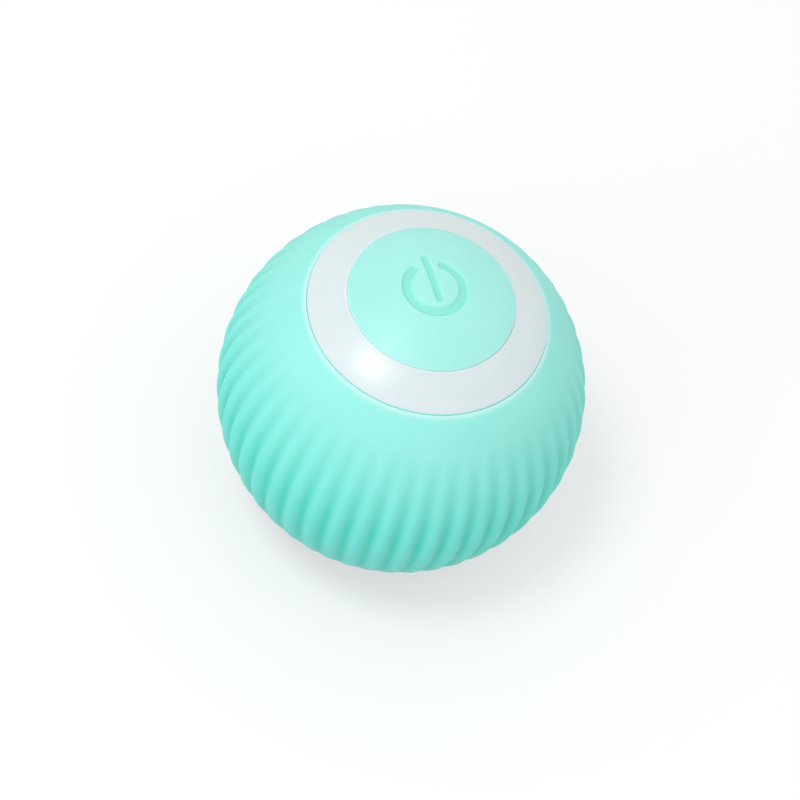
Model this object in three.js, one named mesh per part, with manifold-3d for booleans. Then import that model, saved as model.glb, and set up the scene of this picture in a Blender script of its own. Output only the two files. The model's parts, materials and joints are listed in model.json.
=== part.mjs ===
// Self rolling cat ball: a ribbed soft ball that turns round a weighted, motor driven core.
// Millimetres. +Z runs up the ball's axle to the power button, +Y to the top of the power symbol.
// Heights are counted from the ball's centre. At the end the ball is lifted on to its flat base.

import * as THREE from 'three';
import { mergeVertices } from 'three/addons/utils/BufferGeometryUtils.js';
import Module from 'manifold-3d';

const wasm = await Module();
wasm.setup();

// Ball
const ballRadius = 21.5;

// Clearances
const runGap = 0.15;
const thrustGap = 0.2;
const slipGap = 0.2;
const seatGap = 0.3;
const pinGap = 0.06;
const boreGap = 0.1;
const sleeveGap = 0.15;
const ringSeatGap = 0.25;
const ringEdgeGap = 0.05;
const buttonEdgeGap = 0.1;
const cutOver = 0.6;
const weldDistance = 0.0001;

// Grip sleeve
const sleeveWall = 1.6;
const windowLatitude = THREE.MathUtils.degToRad(50.5);
const lipRound = 0.3;
const ribCount = 48;
const ribDepth = 0.55;
const columnsPerRib = 3;
const ribStart = THREE.MathUtils.degToRad(38);
const ribFull = THREE.MathUtils.degToRad(3);
const sleeveRowShares = [1, 0.8, 0.54, 0.27, 0];
const wallRowShares = [1, 0.667, 0.333, 0];

// Light ring, lower ring and button
const ringDip = 0.5;
const ringEdgeRound = 0.25;
const buttonOverhang = 0.9;
const buttonRim = 0.75;
const buttonDome = 2.1;
const buttonEdgeRound = 0.35;
const buttonTravel = 0.5;
const buttonSkirtWall = 0.8;
const buttonStemRadius = 1.6;
const skirtRingHeight = 1.4;
const hookLength = 3.1;
const hookHeight = 0.9;
const hookReach = 0.5;
const hookCount = 3;
const hookHalfAngle = THREE.MathUtils.degToRad(24);

// Power symbol, engraved in the button
const symbolRadius = 3.2;
const symbolRise = 0.12;
const symbolLine = 0.95;
const symbolBarWidth = 0.7;
const symbolDepth = 0.3;
const symbolBarTop = 4.4;
const symbolBarFoot = 1.8;
const symbolGapHalfAngle = THREE.MathUtils.degToRad(32);

// Shells and their hubs
const shellWall = 1.55;
const lapWidth = 0.7;
const journalRadius = 8.6;
const journalLength = 2.7;
const shoulderWidth = 0.7;

// Core
const coreGap = 0.7;
const bowlWall = 1.3;
const hubFlangeDrop = 0.8;
const hubFlangeThickness = 1;
const hubWall = 1.1;
const collarHeight = 1.3;
const boardThickness = 1;
const postRadius = 1.7;
const postAngles = [50, 130, 255].map(THREE.MathUtils.degToRad);
const columnRadius = 1.9;
const deckThickness = 1.2;
const deckGap = 0.4;
const shelfThickness = 1;
const fenceHeight = 1.5;
const fenceWall = 0.7;

// Screws
const hubScrewRadius = 0.7;
const hubScrewHeadRadius = 1.05;
const hubScrewHeadHeight = 0.6;
const hubScrewGrip = 3;
const frameScrewRadius = 0.75;
const frameScrewHeadRadius = 1.15;
const frameScrewHeadHeight = 0.9;
const frameScrewGrip = 3.7;
const frameScrewClamp = 3;
const driveSlotWidth = 0.35;
const driveSlotDepthShare = 0.5;
const driveSlotLengthShare = 1.5;

// Gears
const pressureAngle = THREE.MathUtils.degToRad(20);
const addendumShare = 0.9;
const dedendumShare = 1.2;
const backlash = 0.09;
const ringTeeth = 64;
const finalPinionTeeth = 12;
const ringRimWall = 1.1;
const rimGap = 0.5;
const ringFaceShare = 6.6;
const clampHalf = 0.5;
const fineModuleShare = 0.8;
const motorPinionTeeth = 10;
const wheel1Teeth = 24;
const pinion1Teeth = 10;
const wheel2Teeth = 20;
const wheel1FaceShare = 3.75;
const wheel2FaceShare = 4;
const wheelGap = 0.4;
const pinionOverlap = 0.2;
const pinRadius = 0.6;
const bossRadius = 1.4;

// Motor
const motorBossGap = 0.4;
const motorFlatDepth = 1;
const motorCapLength = 1.2;
const motorNoseRadius = 1.5;
const motorNoseHeight = 0.6;
const motorShaftRadius = 0.5;
const motorShaftInside = 3.5;
const motorBelowWheel = 2.7;
const collarWall = 0.8;
const deckCollarHeight = 2;

// Battery and boards
const batteryEndGap = 0.6;
const batteryRound = 1;
const batteryPostGap = 1.1;
const padThickness = 0.4;
const componentRoom = 1.5;
const chipSize = 5;
const chipHeight = 0.9;
const sensorLength = 3;
const sensorWidth = 2.5;
const switchSize = 6;
const switchHeight = 3.5;
const plungerRadius = 1.75;
const plungerHeight = 0.8;
const plungerInside = 0.6;
const ledLength = 2;
const ledWidth = 1.2;
const ledHeight = 0.8;
const ledCount = 4;
const firstLedAngle = THREE.MathUtils.degToRad(7.5);

// Lower hub, base cap and charging socket
const chargeBoardThickness = 0.8;
const bowlFloorAbove = 0.8;
const ledgeWidth = 0.9;
const capOverhang = 0.8;
const capRim = 1.8;
const capRound = 1;
const capPlate = 1.6;
const capRimGap = 0.3;
const capSkirtWall = 0.9;
const socketWidth = 8.94;
const socketHeight = 3.26;
const socketWall = 0.3;
const socketRecess = 0.4;
const socketLength = 5.5;
const mouthGap = 0.25;
const tongueWidth = 6.7;
const tongueThickness = 0.7;
const tongueShortfall = 0.9;
const insulatorBlock = 1.6;

// Counterweight
const weightDepth = 10;
const weightWeb = 1.6;

// Wires
const wireRadius = 0.4;
const wireSides = 5;
const wireSteps = 10;
const wirePitch = 1.4;
const wireSlotWidth = 2;
const wireSlotLength = 7.2;
const chargeTerminal = 3.6;
const wireBend = 0.9;

// Numbers of sides on round pieces
const roundSides = 32;
const gearBoreSides = 10;
const smallSides = 12;

// Sizes worked out from the ones above
const shellOuter = ballRadius - sleeveWall - sleeveGap;
const shellInner = shellOuter - shellWall;
const sleeveInner = ballRadius - sleeveWall;
const windowRadius = ballRadius * Math.cos(windowLatitude);
const buttonRadius = journalRadius + buttonOverhang;
const shellBore = journalRadius + runGap;
const ringInner = buttonRadius + buttonEdgeGap;
const ringOuter = windowRadius - ringEdgeGap;
const ringSeat = shellOuter + ringSeatGap;
const crownEdge = onSphere(shellOuter, shellBore);
const hubFace = crownEdge - journalLength;
const shoulderTop = hubFace - thrustGap;
const shoulderRadius = journalRadius + shoulderWidth;
const flangeTop = shoulderTop - hubFlangeDrop;
const boardTop = flangeTop - hubFlangeThickness;
const postTop = boardTop - boardThickness;
const hubFlangeRadius = onSphere(shellInner - seatGap, flangeTop);
const boardRadius = hubFlangeRadius;
const postCircle = hubFlangeRadius - hubScrewHeadRadius - boreGap;
const hubBore = journalRadius - hubWall;
const buttonSkirtRadius = hubBore - slipGap - hookReach;
const collarBore = buttonSkirtRadius + slipGap;
const collarFoot = crownEdge - collarHeight;
const coreRadius = shellInner - coreGap;
const bowlInner = coreRadius - bowlWall;
const ringRoot = shellInner - rimGap - ringRimWall;
const ringModule = ringRoot / (ringTeeth / 2 + dedendumShare);
const ringPitch = ringModule * ringTeeth / 2;
const finalPitch = ringModule * finalPinionTeeth / 2;
const fineModule = ringModule * fineModuleShare;
const ringFace = ringModule * ringFaceShare;
const wheel1Face = fineModule * wheel1FaceShare;
const wheel2Face = fineModule * wheel2FaceShare;
const gearTop = clampHalf;
const gearBottom = gearTop - ringFace;
const clampRadius = shellOuter - lapWidth;
const deckTop = gearBottom - deckGap;
const deckBottom = deckTop - deckThickness;
const deckRadius = coreRadius - bowlWall / 2 - seatGap;
const finalPinionFoot = gearBottom + pinionOverlap;
const wheel2Foot = gearTop + wheelGap;
const wheel2Top = wheel2Foot + wheel2Face;
const pinion1Foot = wheel2Foot - pinionOverlap;
const wheel1Foot = wheel2Top + wheelGap;
const wheel1Top = wheel1Foot + wheel1Face;
const motorPinionFoot = wheel1Foot - pinionOverlap;
const motorPinionTop = wheel1Top + pinionOverlap;
const shelfFoot = motorPinionTop + seatGap;
const shelfTop = shelfFoot + shelfThickness;
const shelfRadius = postCircle + postRadius;
const batteryFoot = shelfTop + padThickness;
const batteryTop = postTop - componentRoom;
const [batteryBack, batteryFront] = batterySides();
const batteryWidth = batteryBack - batteryFront;
const batteryMiddle = (batteryBack + batteryFront) / 2;
const batteryCorner = Math.max(batteryBack, -batteryFront);
const batteryLength = (onSphere(shelfRadius, batteryCorner) - batteryEndGap) * 2;
const gear2Centre = ringPitch - finalPitch;
const gear1Centre = gear2Centre - fineModule * (pinion1Teeth + wheel2Teeth) / 2;
const motorCentreDistance = fineModule * (motorPinionTeeth + wheel1Teeth) / 2;
const motorAngle = THREE.MathUtils.degToRad(-110);
const motorX = gear1Centre + motorCentreDistance * Math.cos(motorAngle);
const motorY = motorCentreDistance * Math.sin(motorAngle);
const motorRadius = motorCentreDistance - bossRadius - motorBossGap;
const motorFlatHalf = motorRadius - motorFlatDepth;
const motorTop = wheel1Foot - motorBelowWheel;
const motorFlatWidth = onSphere(motorRadius, motorFlatHalf);
const motorReach = Math.hypot(Math.hypot(motorX, motorY) + motorFlatHalf, motorFlatWidth);
const motorCapFoot = -onSphere(bowlInner - seatGap, motorReach);
const motorFoot = motorCapFoot + motorCapLength;
const buttonUnderside = crownEdge + buttonTravel + runGap;
const buttonEdge = buttonUnderside + buttonRim;
const buttonCrown = buttonEdge + buttonDome;
const switchTop = boardTop + switchHeight;
const plungerTop = switchTop + plungerHeight;
const baseDepth = crownEdge + capRimGap + capRim;
const capRadius = journalRadius + capOverhang;
const socketMouth = socketRecess - baseDepth;
const chargeBoardFoot = socketMouth + socketLength;
const chargeBoardTop = chargeBoardFoot + chargeBoardThickness;
const chargeBoardRadius = hubBore - slipGap;
const bowlFloor = chargeBoardTop + bowlFloorAbove;
const capTop = -crownEdge;
const wireWell = shelfRadius + seatGap * 2 + wireRadius;
const wireTop = postTop - seatGap;
const ledCircle = shoulderRadius + boreGap + ledWidth / 2;
const weightInnerRadius = postCircle - columnRadius - weightWeb;

function onSphere(sphereRadius, radius) {
  return Math.sqrt(sphereRadius ** 2 - radius ** 2);
}

// The battery's two long sides, which run between the posts behind and in front of it
function batterySides() {
  const middles = postAngles.map((angle) => postCircle * Math.sin(angle));
  const reach = postRadius + batteryPostGap;
  const back = Math.min(...middles.filter((y) => y > 0)) - reach;
  const front = Math.max(...middles.filter((y) => y < 0)) + reach;
  return [back, front];
}

// Closed meshes as solids, and solids as meshes

function toSolid(geometry) {
  const bare = geometry.clone();
  bare.deleteAttribute('normal');
  bare.deleteAttribute('uv');
  const welded = mergeVertices(bare, weldDistance);
  const place = welded.getAttribute('position');
  const triangles = [];
  for (let i = 0; i < welded.index.count; i += 3) {
    const [a, b, c] = [0, 1, 2].map((corner) => welded.index.getX(i + corner));
    if (a !== b && b !== c && c !== a) {
      triangles.push([a, b, c]);
    }
  }
  const inverted = signedVolume(place, triangles) < 0;
  const corners = triangles.flatMap(([a, b, c]) => (inverted ? [a, c, b] : [a, b, c]));
  return new wasm.Manifold(new wasm.Mesh({
    numProp: 3,
    vertProperties: new Float32Array(place.array),
    triVerts: new Uint32Array(corners),
  }));
}

function signedVolume(place, triangles) {
  const [first, second, third] = [0, 1, 2].map(() => new THREE.Vector3());
  let total = 0;
  for (const [a, b, c] of triangles) {
    first.fromBufferAttribute(place, a);
    second.fromBufferAttribute(place, b);
    third.fromBufferAttribute(place, c);
    total += first.dot(second.cross(third));
  }
  return total;
}

function toGeometry(solid) {
  const mesh = solid.getMesh();
  const geometry = new THREE.BufferGeometry();
  geometry.setAttribute('position', new THREE.BufferAttribute(mesh.vertProperties, mesh.numProp));
  geometry.setIndex(new THREE.BufferAttribute(mesh.triVerts, 1));
  geometry.computeVertexNormals();
  return geometry;
}

function joined(...solids) {
  return solids.reduce((whole, solid) => whole.add(solid));
}

function without(solid, ...cuts) {
  return cuts.reduce((rest, cut) => rest.subtract(cut), solid);
}

// Basic forms. A profile is a list of [radius, height] and closes on itself or on the axis.

function turned(profile, sides = roundSides) {
  const points = profile.map(([radius, height]) => new THREE.Vector2(radius, height));
  if (profile[0][0] > 0) {
    points.push(points[0].clone());
  }
  const geometry = new THREE.LatheGeometry(points, sides);
  geometry.rotateX(Math.PI / 2);
  return toSolid(geometry);
}

function rod(radius, foot, top, x = 0, y = 0, sides = smallSides) {
  const geometry = new THREE.CylinderGeometry(radius, radius, top - foot, sides);
  geometry.rotateX(Math.PI / 2);
  geometry.translate(x, y, (top + foot) / 2);
  return toSolid(geometry);
}

function block(sizeX, sizeY, foot, top, x = 0, y = 0) {
  const geometry = new THREE.BoxGeometry(sizeX, sizeY, top - foot);
  geometry.translate(x, y, (top + foot) / 2);
  return toSolid(geometry);
}

function extruded(shape, foot, top, curveSegments = 6) {
  const geometry = new THREE.ExtrudeGeometry(shape, {
    depth: top - foot,
    bevelEnabled: false,
    curveSegments,
  });
  geometry.translate(0, 0, foot);
  return geometry;
}

function roundedRectangle(width, height, corner) {
  const [x, y] = [width / 2, height / 2];
  const shape = new THREE.Shape();
  shape.moveTo(corner - x, -y);
  shape.lineTo(x - corner, -y);
  shape.absarc(x - corner, corner - y, corner, -Math.PI / 2, 0);
  shape.lineTo(x, y - corner);
  shape.absarc(x - corner, y - corner, corner, 0, Math.PI / 2);
  shape.lineTo(corner - x, y);
  shape.absarc(corner - x, y - corner, corner, Math.PI / 2, Math.PI);
  shape.lineTo(-x, corner - y);
  shape.absarc(corner - x, corner - y, corner, Math.PI, Math.PI * 3 / 2);
  return shape;
}

// Points on a sphere's section from one latitude to another, both ends included
function arc(radius, from, to, steps) {
  return Array.from({ length: steps + 1 }, (_, step) => {
    const latitude = from + (to - from) * step / steps;
    return [radius * Math.cos(latitude), radius * Math.sin(latitude)];
  });
}

function latitudeOf(sphereRadius, radius) {
  return Math.acos(radius / sphereRadius);
}

// A corner of a section, rounded from one point to the next with the sharp corner between them
function softCorner(start, corner, end, steps = 1) {
  return Array.from({ length: steps + 1 }, (_, step) => {
    const share = step / steps;
    return [0, 1].map((axis) => (1 - share) ** 2 * start[axis]
      + 2 * share * (1 - share) * corner[axis] + share ** 2 * end[axis]);
  });
}

function mirrored(profile) {
  return profile.map(([radius, height]) => [radius, -height]);
}

function spoke(radius, angle) {
  return [radius * Math.cos(angle), radius * Math.sin(angle)];
}

// Materials

function finish(colour, roughness, metalness = 0) {
  return new THREE.MeshStandardMaterial({ color: colour, roughness, metalness });
}

const mintRubber = finish(0xa0efe3, 0.62);
const mintButton = finish(0xaff3ea, 0.5);
const milkyPlastic = finish(0xe2ebec, 0.32);
const shellPlastic = finish(0xe9ecea, 0.5);
const framePlastic = finish(0xd9dcda, 0.55);
const gearPlastic = finish(0xf0efe8, 0.45);
const capPlastic = finish(0xe6ebea, 0.4);
const steel = finish(0xb9bcc0, 0.3, 1);
const weightMetal = finish(0x8c8f93, 0.5, 1);
const batteryFoil = finish(0xc4c7ca, 0.4, 0.6);
const padFoam = finish(0x3c3f42, 0.9);
const boardGreen = finish(0x1f6b45, 0.45);
const chipBlack = finish(0x1d1f21, 0.5);
const switchBlack = finish(0x26282a, 0.55);
const lampClear = finish(0xf6f7ef, 0.2);
const motorCapPlastic = finish(0xf2f2ee, 0.5);
const wireColours = { red: finish(0xc0272d, 0.5), black: finish(0x1b1b1d, 0.5) };

const ball = new THREE.Group();

function place(parent, name, material, geometry, x = 0, y = 0, angle = 0) {
  const mesh = new THREE.Mesh(geometry, material);
  mesh.name = name;
  mesh.position.set(x, y, 0);
  mesh.rotation.z = angle;
  parent.add(mesh);
  return mesh;
}

// Grip sleeve

// How deep the ribs are at a latitude, as a share: none near the windows, full round the equator
function ribShare(latitude) {
  return THREE.MathUtils.clamp((ribStart - Math.abs(latitude)) / (ribStart - ribFull), 0, 1);
}

function sleeveSection() {
  const corner = onSphere(ballRadius, windowRadius);
  const lipStart = windowRadius + lipRound;
  const lip = softCorner(
    [windowRadius, corner - lipRound],
    [windowRadius, corner],
    [lipStart, onSphere(ballRadius, lipStart)],
  );
  const lipLatitude = latitudeOf(ballRadius, lipStart);
  const upper = sleeveRowShares.slice(1).flatMap((share) => (
    arc(ballRadius, lipLatitude * share, lipLatitude * share, 1).slice(1)));
  const outside = [...lip, ...upper];
  const inside = wallRowShares.map((share) => {
    const latitude = latitudeOf(sleeveInner, windowRadius) * share;
    return [sleeveInner * Math.cos(latitude), sleeveInner * Math.sin(latitude)];
  });
  const lower = mirrored(outside.slice(0, -1)).reverse();
  const insideLower = mirrored(inside.slice(0, -1));
  return {
    outside: [...outside, ...lower],
    inside: [...insideLower, ...inside.slice().reverse()],
  };
}

function ribbedPoint([radius, height], column, columns, ribbed) {
  const turn = column / columns;
  const groove = (1 - Math.cos(turn * ribCount * Math.PI * 2)) / 2;
  const depth = ribbed ? ribDepth * groove * ribShare(Math.atan2(height, radius)) : 0;
  const keep = 1 - depth / Math.hypot(radius, height);
  const angle = turn * Math.PI * 2;
  return [radius * keep * Math.cos(angle), radius * keep * Math.sin(angle), height * keep];
}

function gripSleeve() {
  const { outside, inside } = sleeveSection();
  const columns = ribCount * columnsPerRib;
  const rows = [
    ...outside.map((point) => ({ point, ribbed: true })),
    ...inside.map((point) => ({ point, ribbed: false })),
  ];
  const positions = [];
  for (const { point, ribbed } of rows) {
    for (let column = 0; column < columns; column += 1) {
      positions.push(...ribbedPoint(point, column, columns, ribbed));
    }
  }
  const index = [];
  for (let row = 0; row < rows.length; row += 1) {
    const here = row * columns;
    const next = ((row + 1) % rows.length) * columns;
    for (let column = 0; column < columns; column += 1) {
      const beside = (column + 1) % columns;
      index.push(here + column, next + column, here + beside);
      index.push(here + beside, next + column, next + beside);
    }
  }
  const geometry = new THREE.BufferGeometry();
  geometry.setAttribute('position', new THREE.Float32BufferAttribute(positions, 3));
  geometry.setIndex(index);
  return toSolid(geometry);
}

place(ball, 'grip_sleeve', mintRubber, toGeometry(gripSleeve()));

// Upper and lower shell. They meet outside the ring gear's flange and hold it between them.

function shellSection() {
  const seatLatitude = latitudeOf(sleeveInner, windowRadius);
  const outside = wallRowShares.slice().reverse().map((share) => {
    const latitude = seatLatitude * share;
    return [shellOuter * Math.cos(latitude), shellOuter * Math.sin(latitude)];
  });
  const crown = arc(shellOuter, seatLatitude, latitudeOf(shellOuter, shellBore), 2).slice(1);
  const faceLatitude = Math.asin(hubFace / shellInner);
  const clampLatitude = Math.asin(clampHalf / shellInner);
  const inside = arc(shellInner, faceLatitude, clampLatitude, 5);
  return [
    ...outside,
    ...crown,
    [shellBore, hubFace],
    ...inside,
    [clampRadius + boreGap, clampHalf],
    [clampRadius + boreGap, 0],
  ];
}

place(ball, 'upper_shell', shellPlastic, toGeometry(turned(shellSection())));
place(ball, 'lower_shell', shellPlastic, toGeometry(turned(mirrored(shellSection()))));

// Light ring and lower ring, set on the shells in the sleeve's windows. They start level with the
// ball's surface at the sleeve and dip below it towards the button.

function ringTop(radius) {
  const share = (ringOuter - radius) / (ringOuter - ringInner);
  return onSphere(ballRadius, radius) - ringDip * share;
}

function ringSection() {
  const outerStart = ringOuter - ringEdgeRound;
  const innerEnd = ringInner + ringEdgeRound;
  const middle = (outerStart + innerEnd) / 2;
  return [
    [ringInner, onSphere(ringSeat, ringInner)],
    [ringOuter, onSphere(ringSeat, ringOuter)],
    ...softCorner(
      [ringOuter, ringTop(ringOuter) - ringEdgeRound],
      [ringOuter, ringTop(ringOuter)],
      [outerStart, ringTop(outerStart)],
      2,
    ),
    [middle, ringTop(middle)],
    ...softCorner(
      [innerEnd, ringTop(innerEnd)],
      [ringInner, ringTop(ringInner)],
      [ringInner, ringTop(ringInner) - ringEdgeRound],
      2,
    ),
  ];
}

place(ball, 'light_ring', milkyPlastic, toGeometry(turned(ringSection())));
place(ball, 'lower_ring', milkyPlastic, toGeometry(turned(mirrored(ringSection()))));

// Gears

function involute(angle) {
  return Math.tan(angle) - angle;
}

// Outline of a gear whose first tooth points along +X. A positive swell makes its teeth wider.
function gearOutline(teeth, pitch, root, tip, swell, flankSteps) {
  const base = pitch * Math.cos(pressureAngle);
  const halfTooth = Math.PI / (2 * teeth) + swell / (2 * pitch);
  const flank = Array.from({ length: flankSteps + 1 }, (_, step) => {
    const radius = root + (tip - root) * step / flankSteps;
    const slant = involute(Math.acos(Math.min(1, base / radius)));
    return { radius, half: halfTooth + involute(pressureAngle) - slant };
  });
  const points = [];
  for (let tooth = 0; tooth < teeth; tooth += 1) {
    const centre = tooth * Math.PI * 2 / teeth;
    for (const { radius, half } of flank) {
      points.push(new THREE.Vector2(...spoke(radius, centre - half)));
    }
    for (const { radius, half } of flank.slice().reverse()) {
      points.push(new THREE.Vector2(...spoke(radius, centre + half)));
    }
  }
  return points;
}

function circlePath(radius, sides) {
  const points = Array.from({ length: sides }, (_, side) => (
    new THREE.Vector2(...spoke(radius, side * Math.PI * 2 / sides))));
  return new THREE.Path(points);
}

function spurGear(teeth, module, foot, top, bore, flankSteps = 2) {
  const pitch = module * teeth / 2;
  const root = pitch - module * dedendumShare;
  const tip = pitch + module * addendumShare;
  const shape = new THREE.Shape(gearOutline(teeth, pitch, root, tip, -backlash, flankSteps));
  shape.holes.push(circlePath(bore, gearBoreSides));
  return toSolid(extruded(shape, foot, top));
}

function ringGear() {
  const tip = ringPitch - ringModule * addendumShare;
  const shape = new THREE.Shape(circlePath(ringRoot + ringRimWall, roundSides * 2).getPoints());
  shape.holes.push(new THREE.Path(
    gearOutline(ringTeeth, ringPitch, tip, ringRoot, backlash, 1)));
  const rim = toSolid(extruded(shape, gearBottom, gearTop));
  const flange = turned([
    [ringRoot + ringRimWall / 2, -clampHalf],
    [clampRadius, -clampHalf],
    [clampRadius, clampHalf],
    [ringRoot + ringRimWall / 2, clampHalf],
  ]);
  return joined(rim, flange);
}

// Turn of a gear so that it meshes with a driver on the line towards it
function meshTurn(driverTeeth, driverTurn, lineAngle, teeth) {
  return lineAngle + Math.PI + Math.PI / teeth + (driverTeeth / teeth) * (lineAngle - driverTurn);
}

place(ball, 'ring_gear', gearPlastic, toGeometry(ringGear()));

const gearBore = pinRadius + pinGap;
const wheel2Turn = meshTurn(pinion1Teeth, 0, 0, wheel2Teeth);
const motorTurn = meshTurn(wheel1Teeth, 0, motorAngle, motorPinionTeeth);

// The final pinion points a tooth into the ring gear's space on the +X side, and its wheel is set to gear 1.
const gear2 = joined(
  spurGear(finalPinionTeeth, ringModule, finalPinionFoot, wheel2Foot, gearBore),
  toSolid(extruded(wheelShape(), wheel2Foot, wheel2Top)),
);

function wheelShape() {
  const pitch = fineModule * wheel2Teeth / 2;
  const root = pitch - fineModule * dedendumShare;
  const tip = pitch + fineModule * addendumShare;
  const turn = new THREE.Vector2();
  const outline = gearOutline(wheel2Teeth, pitch, root, tip, -backlash, 2);
  const shape = new THREE.Shape(outline.map((point) => point.rotateAround(turn, wheel2Turn)));
  shape.holes.push(circlePath(gearBore, gearBoreSides));
  return shape;
}

const gear1 = joined(
  spurGear(pinion1Teeth, fineModule, pinion1Foot, wheel1Foot, gearBore),
  spurGear(wheel1Teeth, fineModule, wheel1Foot, wheel1Top, gearBore),
);

place(ball, 'compound_gear_1', gearPlastic, toGeometry(gear1), gear1Centre, 0);
place(ball, 'compound_gear_2', gearPlastic, toGeometry(gear2), gear2Centre, 0);

const gearPins = [
  { x: gear1Centre, top: shelfTop - boreGap },
  { x: gear2Centre, top: wheel2Top + boreGap },
];
gearPins.forEach(({ x, top }, order) => {
  place(ball, `gear_pin_${order + 1}`, steel, toGeometry(rod(pinRadius, deckBottom, top)), x, 0);
});

// Motor with its shaft and pinion

const motorHeading = Math.atan2(motorY, motorX);

function motorShape(grow) {
  const radius = motorRadius + grow;
  const flat = motorFlatHalf + grow;
  const reach = Math.acos(flat / radius);
  const shape = new THREE.Shape();
  shape.absarc(0, 0, radius, reach, Math.PI - reach);
  shape.absarc(0, 0, radius, Math.PI + reach, Math.PI * 2 - reach);
  return shape;
}

const motorCan = without(
  joined(
    toSolid(extruded(motorShape(0), motorFoot, motorTop)),
    rod(motorNoseRadius, motorTop - motorNoseHeight, motorTop + motorNoseHeight),
  ),
  rod(
    motorShaftRadius + boreGap,
    motorTop - motorShaftInside - seatGap,
    motorTop + motorNoseHeight + cutOver,
  ),
);
place(ball, 'motor_can', steel, toGeometry(motorCan), motorX, motorY, motorHeading);

const motorCap = toSolid(extruded(motorShape(-seatGap), motorCapFoot, motorFoot));
place(ball, 'motor_end_cap', motorCapPlastic, toGeometry(motorCap), motorX, motorY, motorHeading);

const motorShaft = rod(motorShaftRadius, motorTop - motorShaftInside, motorPinionTop);
place(ball, 'motor_shaft', steel, toGeometry(motorShaft), motorX, motorY);

const motorPinion = spurGear(
  motorPinionTeeth,
  fineModule,
  motorPinionFoot,
  motorPinionTop,
  motorShaftRadius + pinGap,
);
place(ball, 'motor_pinion', gearPlastic, toGeometry(motorPinion), motorX, motorY, motorTurn);

// A form of the motor's outline, where the motor sits
function motorPrism(grow, foot, top) {
  const geometry = extruded(motorShape(grow), foot, top);
  geometry.rotateZ(motorHeading);
  geometry.translate(motorX, motorY, 0);
  return toSolid(geometry);
}

// Core frame: the shelf over the gears, three posts and the battery's fence

function atPosts(make) {
  return postAngles.map((angle) => make(...spoke(postCircle, angle)));
}

function coreFrame() {
  const shelf = rod(shelfRadius, shelfFoot, shelfTop, 0, 0, roundSides);
  const posts = atPosts((x, y) => rod(postRadius, deckTop, postTop, x, y));
  const fenceX = batteryLength + (slipGap + fenceWall) * 2;
  const fenceY = batteryWidth + (slipGap + fenceWall) * 2;
  const fence = without(
    block(fenceX, fenceY, shelfTop - fenceWall, shelfTop + fenceHeight, 0, batteryMiddle),
    block(
      batteryLength + slipGap * 2,
      batteryWidth + slipGap * 2,
      shelfTop,
      shelfTop + fenceHeight + cutOver,
      0,
      batteryMiddle,
    ),
  );
  const inRound = rod(shelfRadius, shelfFoot, shelfTop + fenceHeight, 0, 0, roundSides);
  const pilots = atPosts((x, y) => rod(
    hubScrewRadius + boreGap,
    postTop - hubScrewGrip - seatGap,
    postTop + cutOver,
    x,
    y,
  ));
  const sockets = atPosts((x, y) => rod(
    frameScrewRadius + boreGap,
    deckTop - cutOver,
    deckTop + frameScrewGrip + seatGap,
    x,
    y,
  ));
  const pinHole = rod(pinRadius + boreGap, shelfFoot - cutOver, shelfTop + cutOver, gear1Centre, 0);
  const whole = joined(shelf, fence.intersect(inRound), ...posts);
  return without(whole, ...pilots, ...sockets, pinHole);
}

place(ball, 'core_frame', framePlastic, toGeometry(coreFrame()));

// Gear deck with the motor's collar and the bosses of the gear pins

function gearDeck() {
  const plate = rod(deckRadius, deckBottom, deckTop, 0, 0, roundSides);
  const collar = motorPrism(slipGap + collarWall, deckBottom, deckTop + deckCollarHeight);
  const boss1 = rod(bossRadius, deckBottom, pinion1Foot - slipGap, gear1Centre, 0);
  const boss2 = rod(bossRadius, deckBottom, finalPinionFoot - slipGap, gear2Centre, 0);
  const holes = atPosts((x, y) => rod(
    frameScrewRadius + boreGap,
    deckBottom - cutOver,
    deckTop + cutOver,
    x,
    y,
  ));
  const pins = [gear1Centre, gear2Centre].map((x) => rod(
    pinRadius + boreGap,
    deckBottom - cutOver,
    pinion1Foot + cutOver,
    x,
    0,
  ));
  const slot = block(
    wireSlotWidth,
    wireSlotLength,
    deckBottom - cutOver,
    deckTop + cutOver,
    -wireWell,
  );
  const postRoom = atPosts((x, y) => rod(postRadius + slipGap, deckTop, ballRadius, x, y));
  const motorHole = motorPrism(slipGap, deckBottom - cutOver, ballRadius);
  const whole = joined(plate, collar, boss1, boss2);
  return without(whole, motorHole, slot, ...holes, ...pins, ...postRoom);
}

place(ball, 'gear_deck', framePlastic, toGeometry(gearDeck()));

// Lower frame: the bowl, its screw columns and the hub that the lower shell turns on

const screwSeat = deckBottom - frameScrewClamp;

function lowerFrame() {
  const rim = Math.asin(deckBottom / coreRadius);
  const shoulder = -latitudeOf(coreRadius, shoulderRadius);
  const innerRim = Math.asin(deckBottom / bowlInner);
  const innerFloor = Math.asin(bowlFloor / bowlInner);
  const bowl = turned([
    ...arc(coreRadius, rim, shoulder, 4).slice(0, -1),
    [shoulderRadius, -shoulderTop],
    [journalRadius, -shoulderTop],
    [journalRadius, capTop],
    [hubBore, capTop],
    [hubBore, chargeBoardTop],
    [hubBore - ledgeWidth, chargeBoardTop],
    [hubBore - ledgeWidth, bowlFloor],
    ...arc(bowlInner, innerFloor, innerRim, 4),
  ]);
  const columns = atPosts((x, y) => rod(columnRadius, bowlFloor - bowlWall, deckBottom, x, y));
  const heads = atPosts((x, y) => rod(
    frameScrewHeadRadius + boreGap,
    -ballRadius,
    screwSeat,
    x,
    y,
  ));
  const holes = atPosts((x, y) => rod(
    frameScrewRadius + boreGap,
    screwSeat - cutOver,
    deckBottom + cutOver,
    x,
    y,
  ));
  return without(joined(bowl, ...columns), ...heads, ...holes);
}

place(ball, 'lower_frame', framePlastic, toGeometry(lowerFrame()));

// Top hub: the upper shell's bearing, and the well that the button moves in

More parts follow.
